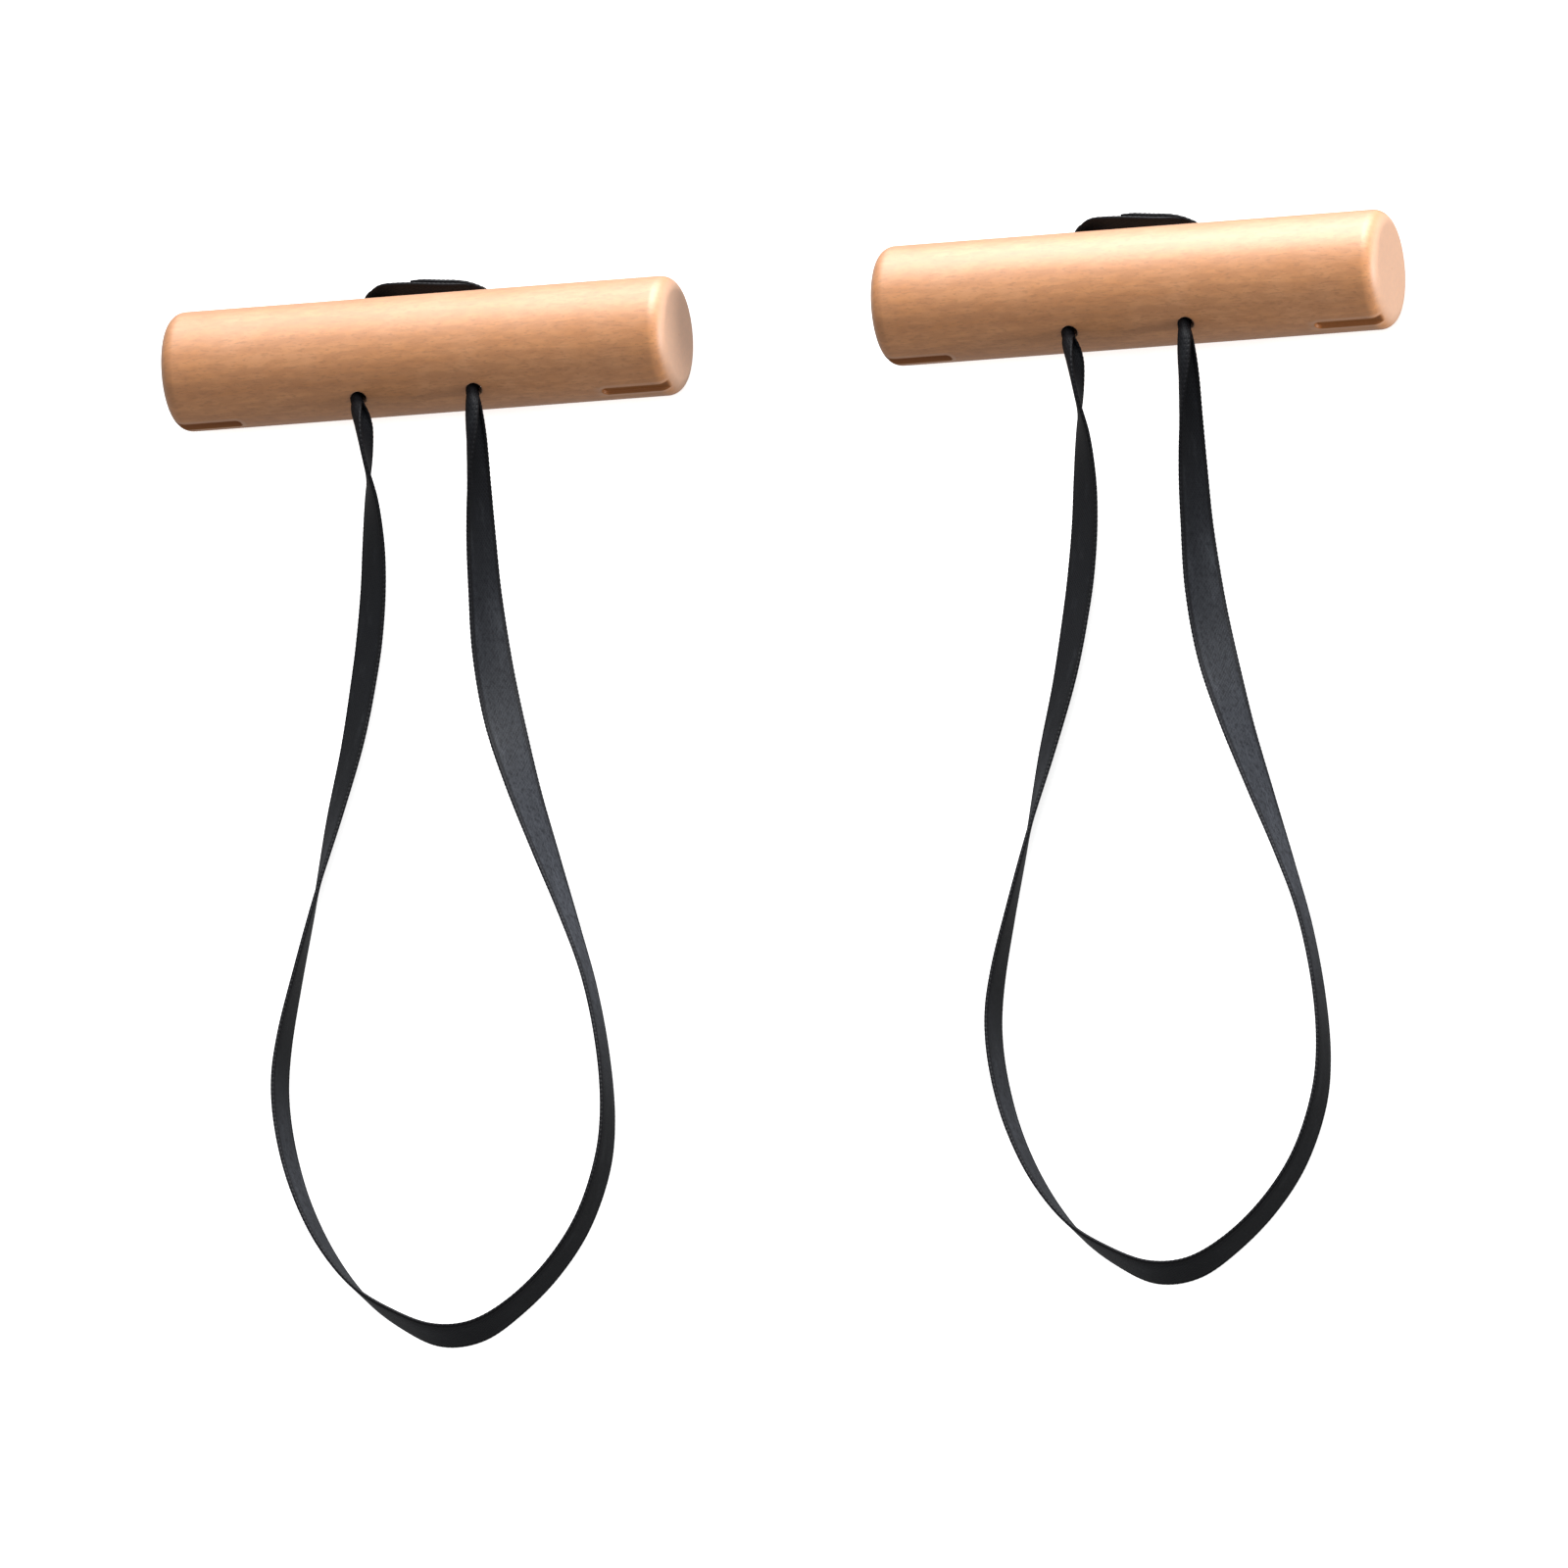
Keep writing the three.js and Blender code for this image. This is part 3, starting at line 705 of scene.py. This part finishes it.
def webbing_finish():
    """Black nylon webbing. Its warp floats lie side by side across the band and each row is set off by
    half a pick from its neighbour. Shade is painted darker in the gaps between the floats, along the
    selvedges and where it is curled up by the holes; patches of it are greyer, and stretches of the
    loop are painted greyer as sheen."""
    material, tree, shader = new_finish("black_webbing", Roughness=0.5)
    cloth = add_node(tree, "UVMap", uv_map="cloth")
    parts = tree.nodes.new("ShaderNodeSeparateXYZ")
    tree.links.new(cloth, parts.inputs[0])
    across, along = parts.outputs[0], parts.outputs[1]
    row = calc(tree, "MULTIPLY", across, 1 / YARN_WIDTH)
    odd = calc(tree, "MODULO", calc(tree, "FLOOR", calc(tree, "ADD", row, YARN_OFFSET)), 2)
    pick = calc(tree, "MULTIPLY_ADD", odd, 0.5, calc(tree, "MULTIPLY", along, 1 / PICK))
    float_side = calc(tree, "ABSOLUTE", calc(tree, "SINE", calc(tree, "MULTIPLY", row, math.pi)))
    float_end = calc(tree, "ABSOLUTE", calc(tree, "SINE", calc(tree, "MULTIPLY", pick, math.pi)))
    yarn = calc(tree, "SQRT", calc(tree, "MULTIPLY", float_side, float_end))
    # Painted shade: a darker band along each selvedge, where its rounded edge turns from the light.
    selvedge_shade = remap(
        tree, calc(tree, "ABSOLUTE", across), WIDTH / 2 - SELVEDGE_FROM, WIDTH / 2 - SELVEDGE_TO
    )
    worn_place = add_node(tree, "Mapping", {"Vector": cloth, "Scale": (160, 45, 1)})
    worn = add_node(tree, "TexNoise", {"Vector": worn_place, "Scale": 1, "Detail": 5, "Roughness": 0.65})
    # Painted shade: the gaps between the floats are painted darker than the yarn.
    colour = mix_rgb(tree, yarn, WEB_YARN_GAP_SHADE, WEB_YARN)
    colour = mix_rgb(tree, remap(tree, worn, 0.5, 0.8, 0, 0.6), colour, WEB_PATCH)
    # Painted sheen: stretches of the loop are painted greyer where its face catches the light.
    faded = add_node(tree, "Attribute", attribute_name="faded", output="Fac")
    faded = calc(tree, "MULTIPLY", faded, remap(tree, worn, 0.2, 0.8, 0.7, 1.3))
    colour = mix_rgb(tree, faded, colour, WEB_PAINTED_SHEEN)
    grain_place = add_node(tree, "Mapping", {"Vector": cloth, "Scale": (900, 420, 1)})
    grain = add_node(tree, "TexNoise", {"Vector": grain_place, "Scale": 1, "Detail": 4, "Roughness": 0.7})
    colour = mix_rgb(tree, remap(tree, grain, 0.42, 0.68, 0, 0.75), colour, WEB_GRAIN)
    colour = mix_rgb(tree, calc(tree, "MULTIPLY", selvedge_shade, 0.7), colour, WEB_SELVEDGE_SHADE)
    # Painted shade: the webbing is painted darkest, with less gloss, where it is curled up by the holes.
    rolled = add_node(tree, "Attribute", attribute_name="rolled", output="Fac")
    colour = mix_rgb(tree, calc(tree, "MULTIPLY", rolled, 0.85), colour, WEB_HOLE_SHADE)
    gloss = calc(tree, "MULTIPLY_ADD", rolled, -0.09, 0.12)
    tree.links.new(gloss, shader.inputs["Specular IOR Level"])
    tree.links.new(colour, shader.inputs["Base Color"])
    bump = add_node(tree, "Bump", {"Height": yarn, "Strength": 0.6, "Distance": 0.12 * MM})
    tree.links.new(bump, shader.inputs["Normal"])
    return material


# ---------------------------------------------------------------- floor, light

FLOOR_HALF = 6.0
FLOOR_GLOW = 0.7
SURROUNDINGS = 0.32


def make_floor():
    """A plain pale floor, level with the underside of the dowels."""
    low = cad_box[0][2]
    corners = np.array([
        [x * FLOOR_HALF, y * FLOOR_HALF, low] for x, y in ((-1, -1), (1, -1), (1, 1), (-1, 1))
    ])
    material, _, shader = new_finish("pale_floor", Roughness=0.9, Specular_IOR_Level=0.1)
    shader.inputs["Base Color"].default_value = (0.92, 0.92, 0.92, 1)
    shader.inputs["Emission Color"].default_value = (1, 1, 1, 1)
    shader.inputs["Emission Strength"].default_value = FLOOR_GLOW
    floor = add_mesh("floor", corners, [[0, 1, 2, 3]], material)
    floor.visible_diffuse = False
    floor.visible_glossy = False
    return floor


def add_softbox(name, towards, distance, size, power):
    """A square soft light that stands in a direction from the pair and faces it."""
    data = bpy.data.lights.new(name, "AREA")
    data.shape, data.size, data.energy = "SQUARE", size, power
    light = bpy.data.objects.new(name, data)
    back = Vector(towards).normalized()
    low, high = map(Vector, cad_box)
    turned = back.to_track_quat("Z", "Y").to_matrix().to_4x4()
    light.matrix_world = Matrix.Translation((low + high) / 2 + back * distance) @ turned
    bpy.context.scene.collection.objects.link(light)
    return light


def link_light(light, receivers, state):
    """Makes the light fall only on the receivers, or on all else."""
    linked = bpy.data.collections.new(light.name + "_receivers")
    for number, receiver in enumerate(receivers):
        linked.objects.link(receiver)
        linked.collection_objects[number].light_linking.link_state = state
    light.light_linking.receiver_collection = linked


def light_scene(floor, loops):
    """Even white surroundings, a softbox high behind the pair, a lower one behind it that only adds
    gloss, one to its right for the dowels alone, and one overhead for the floor alone."""
    world = bpy.data.worlds.new("surroundings")
    world.use_nodes = True
    background = world.node_tree.nodes["Background"]
    background.inputs["Color"].default_value = (1, 1, 1, 1)
    background.inputs["Strength"].default_value = SURROUNDINGS
    bpy.context.scene.world = world
    key = add_softbox("key_softbox", (0.144, 0.777, 0.613), distance=2.0, size=0.9, power=44)
    back = add_softbox("back_softbox", (0.08, 0.92, 0.36), distance=2.0, size=1.6, power=58)
    back.visible_diffuse = False
    side = add_softbox("side_softbox", (0.99, 0.0, 0.12), distance=2.0, size=0.5, power=26)
    overhead = add_softbox("floor_softbox", (0, 0, 1), distance=2.5, size=3.0, power=76)
    link_light(overhead, [floor], "INCLUDE")
    link_light(key, [floor], "EXCLUDE")
    link_light(back, [floor], "EXCLUDE")
    link_light(side, [floor, *loops], "EXCLUDE")


bpy.context.scene.view_settings.view_transform = "Standard"

make_camera()
low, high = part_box("left_grip")
grip_r, grip_length = (high.z - low.z) / 2, high.x - low.x
webbing = webbing_finish()
thread, *_ = new_finish(
    "black_thread", Base_Color=THREAD_BLACK, Roughness=0.4, Specular_IOR_Level=0.5
)
feet = {}
loops = []
for side in SIDES:
    low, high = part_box(f"{side}_grip")
    feet[side] = np.array([(low.x + high.x) / 2, (low.y + high.y) / 2, low.z])
    loops.append(make_loop(side, feet[side], webbing))

for side, foot in feet.items():
    make_lap(side, foot, 1, webbing)
    make_lap(side, foot, -1, webbing)
    make_tack(side, foot, 1, thread)
    make_tack(side, foot, 2, thread)
    make_grip(side, foot, grip_length, beech_finish(side, foot))

light_scene(make_floor(), loops)
